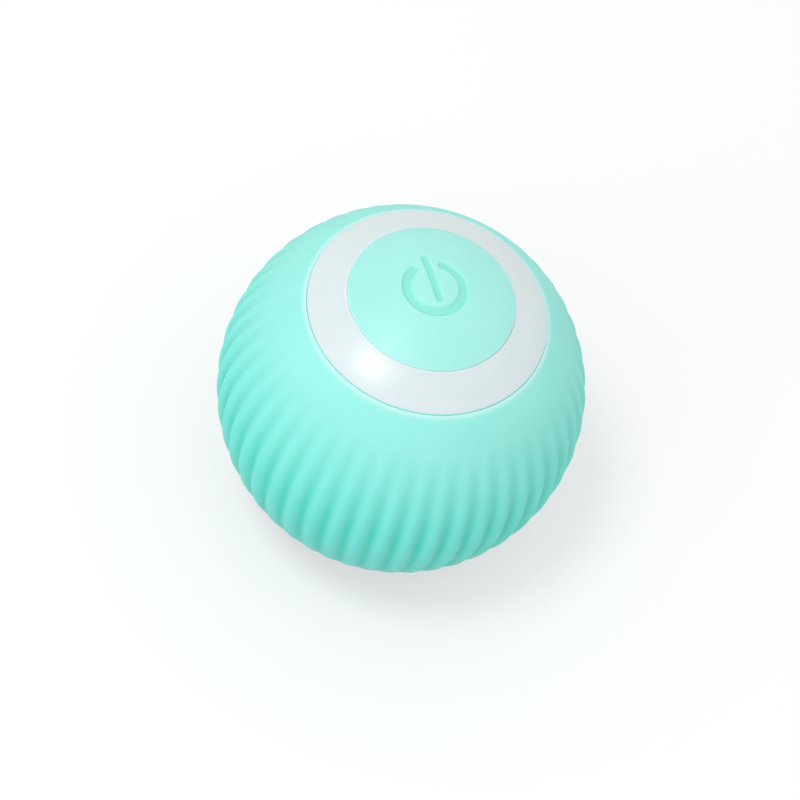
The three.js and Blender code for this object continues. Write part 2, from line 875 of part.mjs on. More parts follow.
function ledAngles() {
  return Array.from({ length: ledCount }, (_, led) => firstLedAngle + led * Math.PI * 2 / ledCount);
}

function topHub() {
  const body = turned([
    [hubBore, boardTop],
    [hubBore, collarFoot],
    [collarBore, collarFoot],
    [collarBore, crownEdge],
    [journalRadius, crownEdge],
    [journalRadius, shoulderTop],
    [shoulderRadius, shoulderTop],
    [shoulderRadius, flangeTop],
    [hubFlangeRadius, flangeTop],
    [hubFlangeRadius, boardTop],
  ]);
  const holes = atPosts((x, y) => rod(
    hubScrewRadius + boreGap,
    boardTop - cutOver,
    flangeTop + cutOver,
    x,
    y,
  ));
  const heads = atPosts((x, y) => rod(
    hubScrewHeadRadius + boreGap,
    flangeTop - hubScrewHeadHeight,
    shoulderTop + cutOver,
    x,
    y,
  ));
  const windows = ledAngles().map((angle) => {
    const length = boardRadius - shoulderRadius + cutOver;
    const geometry = new THREE.BoxGeometry(
      length,
      ledLength + seatGap * 2,
      hubFlangeThickness + cutOver * 2,
    );
    geometry.translate(shoulderRadius + length / 2, 0, boardTop + hubFlangeThickness / 2);
    geometry.rotateZ(angle);
    return toSolid(geometry);
  });
  return without(body, ...holes, ...heads, ...windows);
}

place(ball, 'top_hub', framePlastic, toGeometry(topHub()));

// Screws

function screw(radius, headRadius, headHeight, seat, tip) {
  const rise = Math.sign(seat - tip);
  const top = seat + rise * headHeight;
  const body = turned([
    [0, tip],
    [radius, tip],
    [radius, seat],
    [headRadius, seat],
    [headRadius, top],
    [0, top],
  ], smallSides);
  const slotFoot = top - rise * headHeight * driveSlotDepthShare;
  const slotEnds = [slotFoot, top + rise * cutOver].sort((a, b) => a - b);
  const slotLength = headRadius * driveSlotLengthShare;
  return without(
    body,
    block(slotLength, driveSlotWidth, ...slotEnds),
    block(driveSlotWidth, slotLength, ...slotEnds),
  );
}

const hubScrew = toGeometry(screw(
  hubScrewRadius,
  hubScrewHeadRadius,
  hubScrewHeadHeight,
  flangeTop - hubScrewHeadHeight,
  postTop - hubScrewGrip,
));
const frameScrew = toGeometry(screw(
  frameScrewRadius,
  frameScrewHeadRadius,
  frameScrewHeadHeight,
  screwSeat,
  deckTop + frameScrewGrip,
));
postAngles.forEach((angle, order) => {
  const [x, y] = spoke(postCircle, angle);
  place(ball, `hub_screw_${order + 1}`, steel, hubScrew, x, y);
  place(ball, `frame_screw_${order + 1}`, steel, frameScrew, x, y);
});

// Battery on its pad

const batteryShape = roundedRectangle(batteryLength, batteryWidth, batteryRound);
const battery = toSolid(extruded(batteryShape, batteryFoot, batteryTop, 2));
place(ball, 'battery', batteryFoil, toGeometry(battery), 0, batteryMiddle);

const padSizes = [batteryLength, batteryWidth].map((size) => size - fenceWall * 2);
const pad = block(...padSizes, shelfTop, batteryFoot);
place(ball, 'battery_pad', padFoam, toGeometry(pad), 0, batteryMiddle);

// Circuit board and what is soldered to it

const board = without(
  rod(boardRadius, postTop, boardTop, 0, 0, roundSides),
  ...atPosts((x, y) => rod(
    hubScrewRadius + boreGap,
    postTop - cutOver,
    boardTop + cutOver,
    x,
    y,
  )),
);
place(ball, 'circuit_board', boardGreen, toGeometry(board));

const chip = toGeometry(block(chipSize, chipSize, postTop - chipHeight, postTop));
place(ball, 'control_chip', chipBlack, chip, -chipSize, 0);

const sensor = toGeometry(block(sensorLength, sensorWidth, postTop - chipHeight, postTop));
place(ball, 'motion_sensor', chipBlack, sensor, sensorLength, sensorWidth);

const led = toGeometry(block(ledWidth, ledLength, boardTop, boardTop + ledHeight));
ledAngles().forEach((angle, order) => {
  place(ball, `led_${order + 1}`, lampClear, led, ...spoke(ledCircle, angle), angle);
});

const plungerFoot = switchTop - plungerInside;
const switchBody = without(
  block(switchSize, switchSize, boardTop, switchTop),
  rod(
    plungerRadius + boreGap,
    plungerFoot - buttonTravel - boreGap,
    switchTop + cutOver,
  ),
);
place(ball, 'switch_body', switchBlack, toGeometry(switchBody));

const plunger = rod(plungerRadius, plungerFoot, plungerTop);
place(ball, 'switch_plunger', chipBlack, toGeometry(plunger));

// Power button

function buttonDisc() {
  const crownRadius = (buttonRadius ** 2 + buttonDome ** 2) / (buttonDome * 2);
  const crownCentre = buttonCrown - crownRadius;
  const domeHeight = (radius) => crownCentre + onSphere(crownRadius, radius);
  const roundStart = buttonRadius - buttonEdgeRound;
  const dome = [0, 0.25, 0.5, 0.75].map((share) => (
    [roundStart * share, domeHeight(roundStart * share)]));
  return [
    ...dome,
    ...softCorner(
      [roundStart, domeHeight(roundStart)],
      [buttonRadius, buttonEdge],
      [buttonRadius, buttonEdge - buttonEdgeRound],
      2,
    ),
    [buttonRadius, buttonUnderside],
    [0, buttonUnderside],
  ];
}

function symbolShapes() {
  const half = symbolLine / 2;
  const start = Math.PI / 2 + symbolGapHalfAngle;
  const end = Math.PI * 5 / 2 - symbolGapHalfAngle;
  const bow = new THREE.Shape();
  bow.absarc(0, 0, symbolRadius + half, start, end, false);
  bow.absarc(...spoke(symbolRadius, end), half, end, end + Math.PI, false);
  bow.absarc(0, 0, symbolRadius - half, end, start, true);
  bow.absarc(...spoke(symbolRadius, start), half, start + Math.PI, start + Math.PI * 2, false);
  const bar = roundedRectangle(symbolBarWidth, symbolBarTop + symbolBarFoot, symbolBarWidth / 2);
  return { bow, bar };
}

function symbolGroove(disc) {
  const { bow, bar } = symbolShapes();
  const bowGeometry = extruded(bow, buttonUnderside, ballRadius, 10);
  bowGeometry.translate(0, symbolRise, 0);
  const barGeometry = extruded(bar, buttonUnderside, ballRadius, 4);
  barGeometry.translate(0, symbolRise + (symbolBarTop - symbolBarFoot) / 2, 0);
  const prism = joined(toSolid(bowGeometry), toSolid(barGeometry));
  const sunk = turned(disc.map(([radius, height]) => (
    [radius, height === buttonUnderside ? height - cutOver : height - symbolDepth])));
  return prism.subtract(sunk);
}

function powerButton() {
  const disc = buttonDisc();
  const skirtFoot = buttonUnderside - skirtRingHeight;
  const hookFoot = buttonUnderside - hookLength;
  const hookTop = collarFoot - boreGap;
  const skirtInner = buttonSkirtRadius - buttonSkirtWall;
  const skirt = turned([
    [skirtInner, hookFoot],
    [buttonSkirtRadius, hookFoot],
    [buttonSkirtRadius + hookReach, hookTop - hookHeight],
    [buttonSkirtRadius + hookReach, hookTop],
    [buttonSkirtRadius, hookTop],
    [buttonSkirtRadius, buttonUnderside + cutOver],
    [skirtInner, buttonUnderside + cutOver],
  ]);
  const slots = Array.from({ length: hookCount }, (_, order) => {
    const middle = (order * 2 + 1) * Math.PI / hookCount;
    const half = Math.PI / hookCount - hookHalfAngle;
    const reach = buttonRadius / Math.cos(half);
    const wedge = new THREE.Shape([
      new THREE.Vector2(0, 0),
      new THREE.Vector2(...spoke(reach, middle - half)),
      new THREE.Vector2(...spoke(buttonRadius * 2, middle)),
      new THREE.Vector2(...spoke(reach, middle + half)),
    ]);
    return toSolid(extruded(wedge, hookFoot - cutOver, skirtFoot));
  });
  const stem = rod(buttonStemRadius, plungerTop, buttonUnderside + cutOver);
  const clips = without(skirt, ...slots);
  return without(joined(turned(disc), clips, stem), symbolGroove(disc));
}

place(ball, 'power_button', mintButton, toGeometry(powerButton()));

// Charge board, charging socket and base cap

const chargeBoard = rod(chargeBoardRadius, chargeBoardFoot, chargeBoardTop, 0, 0, roundSides);
place(ball, 'charge_board', boardGreen, toGeometry(chargeBoard));

const socketShape = roundedRectangle(socketWidth, socketHeight, socketHeight / 2);
const socketHole = roundedRectangle(
  socketWidth - socketWall * 2,
  socketHeight - socketWall * 2,
  socketHeight / 2 - socketWall,
);
socketShape.holes.push(socketHole);
const socket = toSolid(extruded(socketShape, socketMouth, chargeBoardFoot, 4));
place(ball, 'socket_shell', steel, toGeometry(socket));

const insulatorShape = roundedRectangle(
  socketWidth - (socketWall + boreGap) * 2,
  socketHeight - (socketWall + boreGap) * 2,
  socketHeight / 2 - socketWall - boreGap,
);
const insulator = joined(
  toSolid(extruded(insulatorShape, chargeBoardFoot - insulatorBlock, chargeBoardFoot, 4)),
  block(tongueWidth, tongueThickness, socketMouth + tongueShortfall, chargeBoardFoot - boreGap),
);
place(ball, 'socket_insulator', chipBlack, toGeometry(insulator));

function baseCap() {
  const skirtOuter = hubBore - slipGap;
  const skirtInner = skirtOuter - capSkirtWall;
  const plateTop = capPlate - baseDepth;
  const body = turned([
    [0, -baseDepth],
    ...softCorner(
      [capRadius - capRound, -baseDepth],
      [capRadius, -baseDepth],
      [capRadius, capRound - baseDepth],
      3,
    ),
    [capRadius, capTop - capRimGap],
    [journalRadius, capTop - capRimGap],
    [journalRadius, capTop],
    [skirtOuter, capTop],
    [skirtOuter, chargeBoardFoot],
    [skirtInner, chargeBoardFoot],
    [skirtInner, plateTop],
    [0, plateTop],
  ]);
  const mouth = roundedRectangle(
    socketWidth + mouthGap * 2,
    socketHeight + mouthGap * 2,
    socketHeight / 2 + mouthGap,
  );
  return body.subtract(toSolid(extruded(mouth, -ballRadius, plateTop + cutOver, 4)));
}

place(ball, 'base_cap', capPlastic, toGeometry(baseCap()));

// Counterweight: a crescent on the -Y side of the bowl, clear of the motor and of the screw columns

function counterweight() {
  const top = deckBottom - seatGap;
  const foot = bowlFloor + seatGap;
  const outer = bowlInner - seatGap;
  const crescent = turned([
    ...arc(outer, Math.asin(foot / outer), Math.asin(top / outer), 3),
    [weightInnerRadius, top],
    [weightInnerRadius, foot],
  ]);
  const half = block(
    ballRadius * 2,
    ballRadius,
    foot - cutOver,
    top + cutOver,
    0,
    weightDepth - bowlInner - ballRadius / 2,
  );
  const columns = atPosts((x, y) => joined(
    rod(columnRadius + seatGap, foot - cutOver, top + cutOver, x, y),
    block((columnRadius + seatGap) * 2, -y, foot - cutOver, top + cutOver, x, y / 2),
  ));
  const motor = motorPrism(seatGap, -ballRadius, ballRadius);
  const wireRoom = block(
    wireSlotWidth * 2,
    wireSlotLength + seatGap * 2,
    foot - cutOver,
    top + cutOver,
    -wireWell,
  );
  return without(crescent.intersect(half), ...columns, motor, wireRoom);
}

place(ball, 'counterweight', weightMetal, toGeometry(counterweight()));

// Wires

function wire(points) {
  const route = new THREE.CatmullRomCurve3(points.map((point) => new THREE.Vector3(...point)));
  const section = new THREE.Shape(circlePath(wireRadius, wireSides).getPoints());
  const geometry = new THREE.ExtrudeGeometry(section, { steps: wireSteps, extrudePath: route });
  return toGeometry(toSolid(geometry));
}

// Up the well on the -X side, past the deck and the shelf, and in under the circuit board
function riser(side) {
  return [
    [-wireWell, side, deckBottom - deckThickness],
    [-wireWell, side, shelfTop],
    [-wireWell, side, batteryFoot],
    [-boardRadius + wireRadius * 2, side, wireTop - wireRadius * 2],
    [-boardRadius + wireRadius * 3, side, wireTop],
  ];
}

const wireLane = motorCapFoot - wireRadius * 2;

['red', 'black'].forEach((colour, order) => {
  const side = (order - 0.5) * wirePitch;
  const motorSide = -wirePitch * 2 + order * wirePitch;
  const chargeSide = wirePitch * 2 - order * wirePitch;
  const [terminalX, terminalY] = [
    motorX - side * Math.sin(motorHeading),
    motorY + side * Math.cos(motorHeading),
  ];
  place(ball, `motor_wire_${colour}`, wireColours[colour], wire([
    [terminalX - wireRadius, terminalY, wireLane + wireRadius],
    [terminalX - motorRadius, terminalY + motorRadius / 2, wireLane],
    [-postCircle, motorSide, wireLane + wireRadius * 2],
    ...riser(motorSide),
  ]));
  place(ball, `charge_wire_${colour}`, wireColours[colour], wire([
    [-chargeTerminal, chargeSide, chargeBoardTop + seatGap],
    [-chargeTerminal - wireBend, chargeSide, bowlFloor + wireRadius * 2],
    [-postCircle, chargeSide, wireLane + wireRadius * 2],
    ...riser(chargeSide),
  ]));
  const batteryEnd = batteryLength / 2;
  place(ball, `battery_wire_${colour}`, wireColours[colour], wire([
    [batteryEnd + seatGap, side + batteryMiddle, (batteryTop + batteryFoot) / 2],
    [batteryEnd + seatGap + wireRadius * 2, side + batteryMiddle, batteryTop],
    [batteryEnd + seatGap + wireRadius, side + batteryMiddle, wireTop],
  ]));
});

// Lifted so that the base cap's flat face lies at height zero
ball.position.z = baseDepth;

export default ball;
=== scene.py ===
# Self rolling cat ball: its fine surfaces, materials, light and camera.
# Metres. +Z runs up the ball's axle to the power button, +Y to the top of the power symbol.
# Heights of the turned pieces are counted from the ball's centre.

import json
import math

import bpy
import numpy as np
from mathutils import Matrix, Vector


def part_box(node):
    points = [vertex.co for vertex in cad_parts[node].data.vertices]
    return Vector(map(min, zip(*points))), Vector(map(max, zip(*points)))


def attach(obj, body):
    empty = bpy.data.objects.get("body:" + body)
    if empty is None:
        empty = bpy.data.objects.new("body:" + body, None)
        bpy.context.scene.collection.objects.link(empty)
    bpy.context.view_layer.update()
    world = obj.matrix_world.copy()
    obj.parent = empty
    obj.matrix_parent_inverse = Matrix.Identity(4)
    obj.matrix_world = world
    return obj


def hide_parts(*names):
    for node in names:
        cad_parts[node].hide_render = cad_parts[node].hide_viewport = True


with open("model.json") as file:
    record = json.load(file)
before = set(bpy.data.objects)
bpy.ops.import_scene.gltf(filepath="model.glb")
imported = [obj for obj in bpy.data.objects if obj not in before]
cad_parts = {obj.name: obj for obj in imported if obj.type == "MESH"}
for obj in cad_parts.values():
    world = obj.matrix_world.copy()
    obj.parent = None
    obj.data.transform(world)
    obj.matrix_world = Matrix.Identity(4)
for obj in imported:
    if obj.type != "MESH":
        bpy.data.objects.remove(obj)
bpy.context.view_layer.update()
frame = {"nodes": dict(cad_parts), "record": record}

mm = 0.001


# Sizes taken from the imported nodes
sleeve_low, sleeve_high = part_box("grip_sleeve")
centre_height = (sleeve_low.z + sleeve_high.z) / 2


def reach_of(node):
    """A node's half width, and its lowest and highest point counted from the ball's centre."""
    low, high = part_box(node)
    return (high.x - low.x) / 2, low.z - centre_height, high.z - centre_height


ball_radius, _, lip_top = reach_of("grip_sleeve")
button_radius, _, button_crown = reach_of("power_button")
cap_radius, cap_foot, _ = reach_of("base_cap")
crown_edge = reach_of("top_hub")[2]
plunger_top = reach_of("switch_plunger")[2]
board_foot = reach_of("charge_board")[1]
socket_half_width = reach_of("socket_shell")[0]
socket_low, socket_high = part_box("socket_shell")
socket_half_height = (socket_high.y - socket_low.y) / 2

# Grip sleeve
sleeve_wall = 1.6 * mm
lip_round = 0.3 * mm
# Painted light: the sleeve is a paler mint near the lip, fading over this width.
lip_light_fade = 0.6 * mm
lip_light_fade_power = 2
rib_count = 48
rib_depth = 0.5 * mm
rib_start = math.radians(38)
rib_full = math.radians(3)
# Below the equator the ribs' painted shade and painted light stay full down to this latitude, as
# painted shade on the ball's lower half.
lower_painted_rib_full = math.radians(20)
columns_per_rib = 12
sleeve_rows = 110
sleeve_inner_rows = 16
window_radius = math.sqrt(ball_radius ** 2 - lip_top ** 2) - lip_round

# Rings
button_edge_gap = 0.01 * mm
ring_seat_gap = 0.01 * mm
ring_inner = button_radius + button_edge_gap
ring_outer = window_radius - ring_seat_gap
ring_dip = 0.5 * mm
ring_inner_round = 0.06 * mm
ring_outer_round = 0.06 * mm
# Painted light on the ring: lighter and bluer near both edges over the first width, and paler at the
# button over the second.
ring_edge_painted_glow = 1.3 * mm
ring_rim_painted_glow = 0.4 * mm
ring_wall_seat = 20 * mm
ring_columns = 384
ring_rows = 24

# Power button
button_dome = 2.1 * mm
button_edge_round = 0.08 * mm
button_underside = 18.356 * mm
button_columns = 384
button_rows = 130
skirt_radius = 6.8 * mm
skirt_wall = 0.8 * mm
hook_length = 3.1 * mm
hook_height = 0.9 * mm
hook_reach = 0.5 * mm
hook_count = 3
hook_half_angle = math.radians(24)
stem_radius = 1.6 * mm
stem_round = 0.2 * mm
stem_columns = 48
hook_columns = 25
hook_gap = 0.1 * mm
collar_height = 1.3 * mm

# Power symbol
symbol_radius = 3.2 * mm
symbol_rise = 0.12 * mm
symbol_line = 0.95 * mm
symbol_bar_width = 0.7 * mm
symbol_depth = 0.3 * mm
symbol_edge = 0.36 * mm
symbol_bar_top = 4.4 * mm
symbol_bar_foot = 1.95 * mm
symbol_gap_half_angle = math.radians(32)

# Base cap
cap_round = 1 * mm
cap_plate = 1.6 * mm
cap_rim_gap = 0.3 * mm
cap_neck_radius = 8.6 * mm
cap_skirt_radius = 7.3 * mm
cap_skirt_wall = 0.9 * mm
mouth_gap = 0.25 * mm
mouth_round = 0.2 * mm
cap_face_shares = (0.25, 0.5, 0.75)
cap_columns = 256

corner_steps = 8
sharp_angle = math.radians(50)


# Camera. Its lens is in millimetres, and the photo's size and the ball's place in it in pixels.

camera_azimuth = math.radians(-32.4)
camera_elevation = math.radians(56)
camera_roll = math.radians(19)
camera_distance = 300 * mm
camera_lens = 115.54
camera_near_limit = 1 * mm
photo_size = 800
ball_right_of_middle = 1.1
ball_above_middle = 11.4


def place_camera():
    """The photo's view: from above the front, rolled, with the ball a little above the middle."""
    middle = Vector((0, 0, centre_height))
    level = Vector((math.cos(camera_azimuth), math.sin(camera_azimuth), 0))
    back = Vector((
        math.sin(camera_azimuth) * math.cos(camera_elevation),
        -math.cos(camera_azimuth) * math.cos(camera_elevation),
        math.sin(camera_elevation),
    ))
    upright = back.cross(level)
    right = math.cos(camera_roll) * level + math.sin(camera_roll) * upright
    up = math.cos(camera_roll) * upright - math.sin(camera_roll) * level
    camera = bpy.data.objects.new("camera", bpy.data.cameras.new("camera"))
    camera.data.lens = camera_lens
    camera.data.shift_x = -ball_right_of_middle / photo_size
    camera.data.shift_y = -ball_above_middle / photo_size
    camera.data.clip_start = camera_near_limit
    turn = Matrix((right, up, back)).transposed().to_4x4()
    camera.matrix_world = Matrix.Translation(middle + camera_distance * back) @ turn
    bpy.context.scene.collection.objects.link(camera)
    bpy.context.scene.camera = camera


place_camera()


# Meshes from rows of points. Each row is a closed loop of the same number of points. A section
# runs up a piece's outside and inwards over its top, so that its faces look outwards.

def on_sphere(sphere_radius, radius):
    return math.sqrt(sphere_radius ** 2 - radius ** 2)


def new_piece(name, points, faces, body, material, *nodes):
    """A smooth piece that rides on a body and stands for CAD nodes."""
    mesh = bpy.data.meshes.new(name)
    mesh.from_pydata(points, [], faces)
    mesh.shade_smooth()
    mesh.set_sharp_from_angle(angle=sharp_angle)
    piece = bpy.data.objects.new(name, mesh)
    bpy.context.scene.collection.objects.link(piece)
    mesh.materials.append(materials[material])
    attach(piece, body)
    if nodes:
        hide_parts(*nodes)
    return piece


def loop_faces(row_count, column_count, closed):
    """Quads between neighbouring rows, and from the last row to the first if closed."""
    faces = []
    for row in range(row_count if closed else row_count - 1):
        here = row * column_count
        there = (row + 1) % row_count * column_count
        for column in range(column_count):
            beside = (column + 1) % column_count
            faces.append((here + column, here + beside, there + beside, there + column))
    return faces


def turned_rows(profile, columns):
    """Rows of a turned form, from its section's [radius, height] points."""
    angles = np.arange(columns) * 2 * math.pi / columns
    rows = []
    for radius, height in profile:
        rows.append(np.stack([
            radius * np.cos(angles),
            radius * np.sin(angles),
            np.full(columns, height + centre_height),
        ], axis=1))
    return rows


def add_attribute(piece, name, values):
    """A number for each of the piece's points, for its material."""
    attribute = piece.data.attributes.new(name, "FLOAT", "POINT")
    attribute.data.foreach_set("value", np.asarray(values, np.float32))


def ring_piece(name, rows, body, material, *nodes):
    """A piece whose rows run round its section and meet again, as on a torus."""
    points = np.concatenate(rows)
    faces = loop_faces(len(rows), len(rows[0]), closed=True)
    return new_piece(name, points.tolist(), faces, body, material, *nodes)


def corner(start, turn, end):
    """A rounded corner of a section, from start to end with its sharp corner at turn."""
    start, turn, end = (np.array(point, float) for point in (start, turn, end))
    shares = np.linspace(0, 1, corner_steps + 1)
    return [tuple((1 - t) ** 2 * start + 2 * t * (1 - t) * turn + t * t * end) for t in shares]


def mirrored(profile):
    return [(radius, -height) for radius, height in reversed(profile)]


# Grip sleeve

def sleeve_profile():
    """The sleeve's section: its outside from the lower lip up, then its inside back down."""
    window_edge = on_sphere(ball_radius, window_radius)
    lip = corner(
        (window_radius + lip_round, lip_top),
        (window_radius, window_edge),
        (window_radius, window_edge - lip_round),
    )
    lip_latitude = math.asin(lip_top / ball_radius)
    latitudes = np.linspace(-lip_latitude, lip_latitude, sleeve_rows)[1:-1]
    outside = [(ball_radius * math.cos(lat), ball_radius * math.sin(lat)) for lat in latitudes]
    inner_radius = ball_radius - sleeve_wall
    inner_latitude = math.acos(window_radius / inner_radius)
    latitudes = np.linspace(inner_latitude, -inner_latitude, sleeve_inner_rows)
    inside = [(inner_radius * math.cos(lat), inner_radius * math.sin(lat)) for lat in latitudes]
    return mirrored(lip) + outside + lip, inside


def rib_share(latitude):
    """How deep the ribs are at a latitude: none near the lips, full round the equator."""
    return np.clip((rib_start - np.abs(latitude)) / (rib_start - rib_full), 0, 1)


def painted_light_and_shade_share(latitude):
    """How strong the ribs' painted shade and painted light are: painted shade in the valleys, painted
    light on the crests. It stays strong further below the equator than above it, as painted shade on
    the ball's lower half.
    """
    full = rib_full if latitude > 0 else lower_painted_rib_full
    return np.clip((rib_start - np.abs(latitude)) / (rib_start - full), 0, 1)


def grip_sleeve():
    outside, inside = sleeve_profile()
    columns = rib_count * columns_per_rib
    outer_rows = turned_rows(outside, columns)
    groove = (1 - np.cos(np.arange(columns) / columns_per_rib * 2 * math.pi)) / 2
    for row, (radius, height) in zip(outer_rows, outside):
        depth = rib_depth * groove * rib_share(math.atan2(height, radius))
        keep = 1 - depth / math.hypot(radius, height)
        row[:, :2] *= keep[:, None]
        row[:, 2] = centre_height + (row[:, 2] - centre_height) * keep
    rows = outer_rows + turned_rows(inside, columns)
    sleeve = ring_piece(
        "sleeve_surface", rows, "rolling_shell", "grip_sleeve", "grip_sleeve")
    latitudes = [math.atan2(height, radius) for radius, height in outside + inside]
    # Painted shade in the rib valleys and painted light on the rib crests, on top of the real relief.
    shares = [painted_light_and_shade_share(latitude) for latitude in latitudes]
    painted_valley_shades = [share * groove for share in shares]
    painted_crest_lights = [share * (1 - groove) for share in shares]
    lip_latitude = math.asin(lip_top / ball_radius)
    from_lip = ball_radius * (lip_latitude - np.abs(latitudes))
    add_attribute(sleeve, "painted_shade_valley", np.concatenate(painted_valley_shades))
    add_attribute(sleeve, "painted_light_crest", np.concatenate(painted_crest_lights))
    # Painted light: a paler mint near the lips.
    painted_light_near_lip = np.clip(1 - from_lip / lip_light_fade, 0, 1) ** lip_light_fade_power
    add_attribute(sleeve, "painted_light_near_lip", np.repeat(painted_light_near_lip, columns))


# Light ring and lower ring

def ring_top(radius):
    """The ring starts level with the ball at the sleeve, and dips below it towards the button."""
    share = (ring_outer - radius) / (ring_outer - ring_inner)
    return on_sphere(ball_radius, radius) - ring_dip * share


def ring_profile():
    outer_edge = ring_top(ring_outer)
    inner_edge = ring_top(ring_inner)
    outer_start = ring_outer - ring_outer_round
    inner_end = ring_inner + ring_inner_round
    radii = np.linspace(outer_start, inner_end, ring_rows + 1)[1:-1]
    return [
        (ring_inner, on_sphere(ring_wall_seat, ring_inner)),
        (ring_outer, on_sphere(ring_wall_seat, ring_outer)),
        *corner(
            (ring_outer, outer_edge - ring_outer_round),
            (ring_outer, outer_edge),
            (outer_start, ring_top(outer_start)),
        ),
        *[(radius, ring_top(radius)) for radius in radii],
        *corner(
            (inner_end, ring_top(inner_end)),
            (ring_inner, inner_edge),
            (ring_inner, inner_edge - ring_inner_round),
        ),
    ]


def rings():
    profile = ring_profile()
    for name, node, section in (
        ("light_ring_lens", "light_ring", profile),
        ("lower_ring_lens", "lower_ring", mirrored(profile)),
    ):
        rows = turned_rows(section, ring_columns)
        ring = ring_piece(name, rows, "rolling_shell", "light_ring", node)
        # Painted light near both edges and at the button, and a painted reflection of the sleeve's
        # mint on the outer wall.
        from_edge = [min(ring_outer - radius, radius - ring_inner) for radius, _ in section]
        shares = np.clip(1 - np.array(from_edge) / ring_edge_painted_glow, 0, 1)
        painted_reflection_walls = [radius > ring_outer - ring_outer_round / 2 for radius, _ in section]
        rim_light_shares = [max(0, 1 - (radius - ring_inner) / ring_rim_painted_glow) for radius, _ in section]
        add_attribute(ring, "painted_light_near_edge", np.repeat(shares, ring_columns))
        add_attribute(ring, "painted_light_at_button", np.repeat(rim_light_shares, ring_columns))
        add_attribute(ring, "painted_reflection_at_sleeve", np.repeat(painted_reflection_walls, ring_columns))


# Power button

def symbol_distance(x, y):
    """Distance from the power symbol's outline, less than zero inside its lines."""
    y = y - symbol_rise
    angle = np.arctan2(x, y)
    from_bow = np.abs(np.hypot(x, y) - symbol_radius)
    end_x = symbol_radius * math.sin(symbol_gap_half_angle)
    end_y = symbol_radius * math.cos(symbol_gap_half_angle)
    from_end = np.hypot(np.abs(x) - end_x, y - end_y)
    bow = np.where(np.abs(angle) > symbol_gap_half_angle, from_bow, from_end)
    half = symbol_bar_width / 2
    nearest = np.clip(y, half - symbol_bar_foot, symbol_bar_top - half)
    bar = np.hypot(x, y - nearest)
    return np.minimum(bow - symbol_line / 2, bar - half)


def symbol_share(x, y):
    """How far a point lies in the symbol: its edges are soft on both sides of the outline."""
    share = np.clip(0.5 - symbol_distance(x, y) / symbol_edge, 0, 1)
    return share * share * (3 - 2 * share)


def power_button():
    edge = button_crown - button_dome
    crown_radius = (button_radius ** 2 + button_dome ** 2) / (2 * button_dome)

    def dome(radius):
        return button_crown - crown_radius + np.sqrt(crown_radius ** 2 - radius ** 2)

    round_start = button_radius - button_edge_round
    rim = corner(
        (button_radius, edge - button_edge_round),
        (button_radius, edge),
        (round_start, dome(round_start)),
    )
    radii = np.linspace(round_start, 0, button_rows + 1)[1:-1]
    profile = [(radii[-1], button_underside), (button_radius, button_underside), *rim]
    profile += [(radius, dome(radius)) for radius in radii]
    rows = turned_rows(profile, button_columns)
    points = np.concatenate([
        *rows,
        [[0, 0, centre_height + button_underside], [0, 0, centre_height + button_crown]],
    ])
    # The groove's share sinks the symbol and also marks it for painted shade, a darker mint in the
    # groove.
    sunk_and_painted_shade = symbol_share(points[:, 0], points[:, 1]) * (points[:, 2] > centre_height + edge)
    points[:, 2] -= symbol_depth * sunk_and_painted_shade
    faces = loop_faces(len(rows), button_columns, closed=False)
    last = (len(rows) - 1) * button_columns
    for column in range(button_columns):
        beside = (column + 1) % button_columns
        faces.append((beside, column, len(points) - 2))
        faces.append((last + column, last + beside, len(points) - 1))
    face = new_piece(
        "button_face", points.tolist(), faces, "button", "power_button", "power_button")
    add_attribute(face, "sunk_and_painted_shade", sunk_and_painted_shade)
    # Painted light: a paler mint on the button's rim and edge wall.
    painted_light_on_rim = np.hypot(points[:, 0], points[:, 1]) > round_start + button_edge_round / 2
    add_attribute(face, "painted_light_on_rim", painted_light_on_rim)


def button_inside():
    """The button's snap hooks, and the stem that presses the switch."""
    hook_foot = button_underside - hook_length
    hook_top = crown_edge - collar_height - hook_gap
    skirt_inner = skirt_radius - skirt_wall
    section = [
        (skirt_inner, hook_foot),
        (skirt_radius, hook_foot),
        (skirt_radius + hook_reach, hook_top - hook_height),
        (skirt_radius + hook_reach, hook_top),
        (skirt_radius, hook_top),
        (skirt_radius, button_underside),
        (skirt_inner, button_underside),
    ]
    for order in range(hook_count):
        middle = order * 2 * math.pi / hook_count
        angles = np.linspace(middle - hook_half_angle, middle + hook_half_angle, hook_columns)
        points = [(radius * math.cos(angle), radius * math.sin(angle), centre_height + height)
                  for angle in angles for radius, height in section]
        size = len(section)
        faces = [tuple(range(size)), tuple(reversed(range(len(points) - size, len(points))))]
        for row in range(hook_columns - 1):
            for side in range(size):
                beside = (side + 1) % size
                faces.append((row * size + side, (row + 1) * size + side,
                              (row + 1) * size + beside, row * size + beside))
        new_piece(f"button_hook_{order + 1}", points, faces, "button", "power_button")
    stem = turned_rows([
        (stem_radius - stem_round, plunger_top),
        (stem_radius, plunger_top + stem_round),
        (stem_radius, button_underside),
    ], stem_columns)
    faces = loop_faces(len(stem), stem_columns, closed=False)
    faces.append(tuple(reversed(range(stem_columns))))
    faces.append(tuple(range(stem_columns * 2, stem_columns * 3)))
    new_piece("button_stem", np.concatenate(stem).tolist(), faces, "button", "power_button")


# Base cap

def mouth_row(grow, height):
    """A loop round the charging port's mouth: two straight sides with round ends."""
    half_width = socket_half_width + mouth_gap + grow
    end_radius = socket_half_height + mouth_gap + grow
    straight = half_width - end_radius
    angles = np.arange(cap_columns) * 2 * math.pi / cap_columns
    towards = np.stack([np.cos(angles), np.sin(angles)], axis=1)
    with np.errstate(divide="ignore"):
        to_side = end_radius / np.abs(towards[:, 1])
    across = straight * np.abs(towards[:, 0])
    to_end = across + np.sqrt(np.maximum(0, across ** 2 - straight ** 2 + end_radius ** 2))
    on_side = to_side * np.abs(towards[:, 0]) <= straight
    reach = np.where(on_side, to_side, to_end)
    row = np.empty((cap_columns, 3))
    row[:, :2] = towards * reach[:, None]
    row[:, 2] = centre_height + height
    return row


